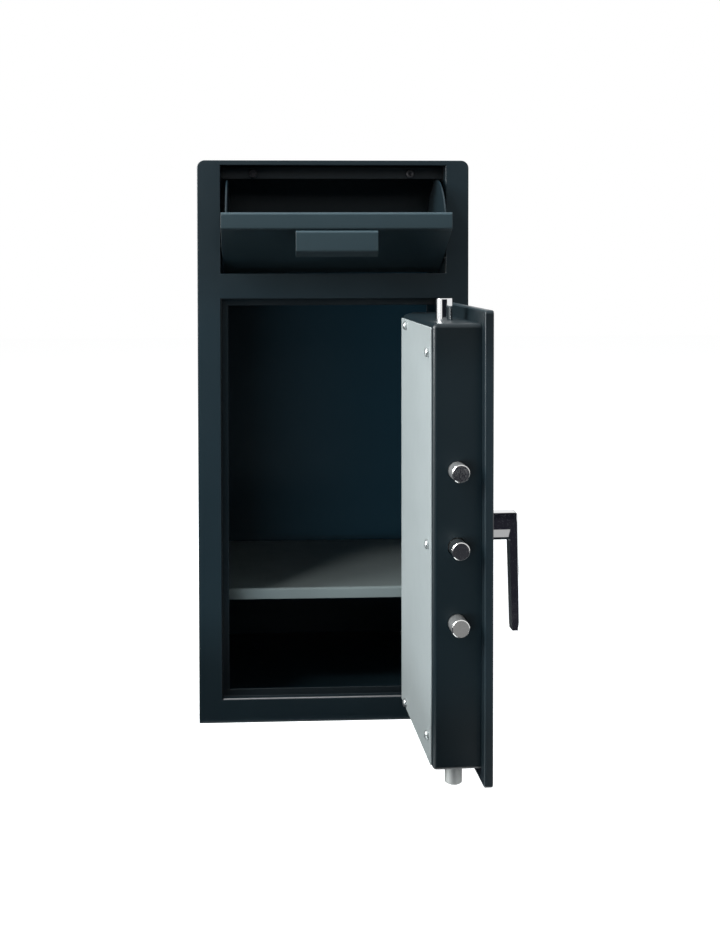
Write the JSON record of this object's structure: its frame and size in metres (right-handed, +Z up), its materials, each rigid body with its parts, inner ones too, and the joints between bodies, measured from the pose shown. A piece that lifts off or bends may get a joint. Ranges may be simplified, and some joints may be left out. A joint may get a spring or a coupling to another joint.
{
  "type": "drop safe with deposit hopper",
  "caption": "Tall steel drop safe: a tilting deposit hopper with a finger pull above a bolted door on concealed pivots, with a lever handle, sliding bolts and a fixed shelf inside.",
  "frame": {"origin": "centre of the cabinet's footprint, on the floor under its base panel", "axes": "+X to the right seen from the front, +Y from the front to the back, +Z up"},
  "size_m": [0.3762, 0.6403, 0.738],
  "materials": {
    "charcoal_paint": "satin dark blue-grey powder coat",
    "shelf_grey": "satin grey paint",
    "panel_grey": "satin pale grey paint",
    "chrome": "polished",
    "zinc": "bright zinc plate",
    "black_rubber": "matt black",
    "brass": "turned"
  },
  "bodies": {
    "cabinet": {"cabinet_wrap": "charcoal_paint", "back_panel": "charcoal_paint", "base_panel": "charcoal_paint", "front_frame": "charcoal_paint", "door_jamb": "charcoal_paint", "hinge_block_top": "charcoal_paint", "hinge_block_bottom": "charcoal_paint", "hinge_pin_top": "zinc", "hinge_pin_bottom": "zinc", "hinge_washer": "brass", "shelf": "shelf_grey", "shelf_ledge_left": "charcoal_paint", "shelf_ledge_right": "charcoal_paint", "hopper_header": "charcoal_paint", "fishing_baffle": "charcoal_paint", "hopper_cheek_left": "charcoal_paint", "hopper_cheek_right": "charcoal_paint", "hopper_pivot_left": "zinc", "hopper_pivot_right": "zinc", "pivot_spacer_left": "black_rubber", "pivot_spacer_right": "black_rubber", "bump_stop_left": "black_rubber", "bump_stop_right": "black_rubber"},
    "hopper": {"hopper_flap": "charcoal_paint", "hopper_side_left": "charcoal_paint", "hopper_side_right": "charcoal_paint", "hopper_tray": "charcoal_paint", "flap_pull": "charcoal_paint"},
    "door": {"door_plate": "charcoal_paint", "door_box": "charcoal_paint", "service_panel": "panel_grey", "panel_screw_1": "zinc", "panel_screw_2": "zinc", "panel_screw_3": "zinc", "panel_screw_4": "zinc", "panel_screw_5": "zinc", "spindle_bush": "brass", "handle_rose": "chrome", "lock_case": "zinc", "keyhole_plate": "chrome", "cover_pin": "chrome", "guide_stud_1": "zinc", "guide_stud_2": "zinc", "guide_stud_3": "zinc", "guide_stud_4": "zinc"},
    "keyhole_cover": {"keyhole_cover": "chrome"},
    "handle": {"lever_handle": "chrome", "handle_spindle": "zinc", "cam_disc": "zinc"},
    "side_bolts": {"bolt_carrier": "zinc", "side_bolt_upper": "chrome", "side_bolt_middle": "chrome", "side_bolt_lower": "chrome"},
    "top_bolt": {"top_bolt": "chrome", "top_bolt_rod": "zinc"},
    "bottom_bolt": {"bottom_bolt": "chrome", "bottom_bolt_rod": "zinc"}
  },
  "joints": [
    {"name": "door_swing", "type": "hinge", "parent": "cabinet", "child": "door", "pos_m": [0.1395, -0.1725, 0.29425], "axis": [0, 0, 1], "range_deg": [-92.2, 18]},
    {"name": "hopper_tilt", "type": "hinge", "parent": "cabinet", "child": "hopper", "pos_m": [0, -0.1525, 0.6283], "axis": [1, 0, 0], "range_deg": [-63.4, 0]},
    {"name": "handle_turn", "type": "hinge", "parent": "door", "child": "handle", "pos_m": [0.15298, -0.39315, 0.30725], "axis": [-0.9993, -0.0384, 0], "range_deg": [0, 45]},
    {"name": "cover_swing", "type": "hinge", "parent": "door", "child": "keyhole_cover", "pos_m": [0.15548, -0.39305, 0.37275], "axis": [-0.9993, -0.0384, 0], "range_deg": [-90, 90]},
    {"name": "side_bolts_slide", "type": "slide", "parent": "door", "child": "side_bolts", "axis": [-0.0384, 0.9993, 0], "range_m": [0, 0.02]},
    {"name": "top_bolt_slide", "type": "slide", "parent": "door", "child": "top_bolt", "axis": [0, 0, -1], "range_m": [0, 0.022]},
    {"name": "bottom_bolt_slide", "type": "slide", "parent": "door", "child": "bottom_bolt", "axis": [0, 0, 1], "range_m": [0, 0.022]}
  ],
  "couplings": [
    {"joint": "side_bolts_slide", "follows": "handle_turn", "m_per_rad": 0.02546},
    {"joint": "top_bolt_slide", "follows": "handle_turn", "m_per_rad": 0.028},
    {"joint": "bottom_bolt_slide", "follows": "handle_turn", "m_per_rad": 0.028}
  ]
}
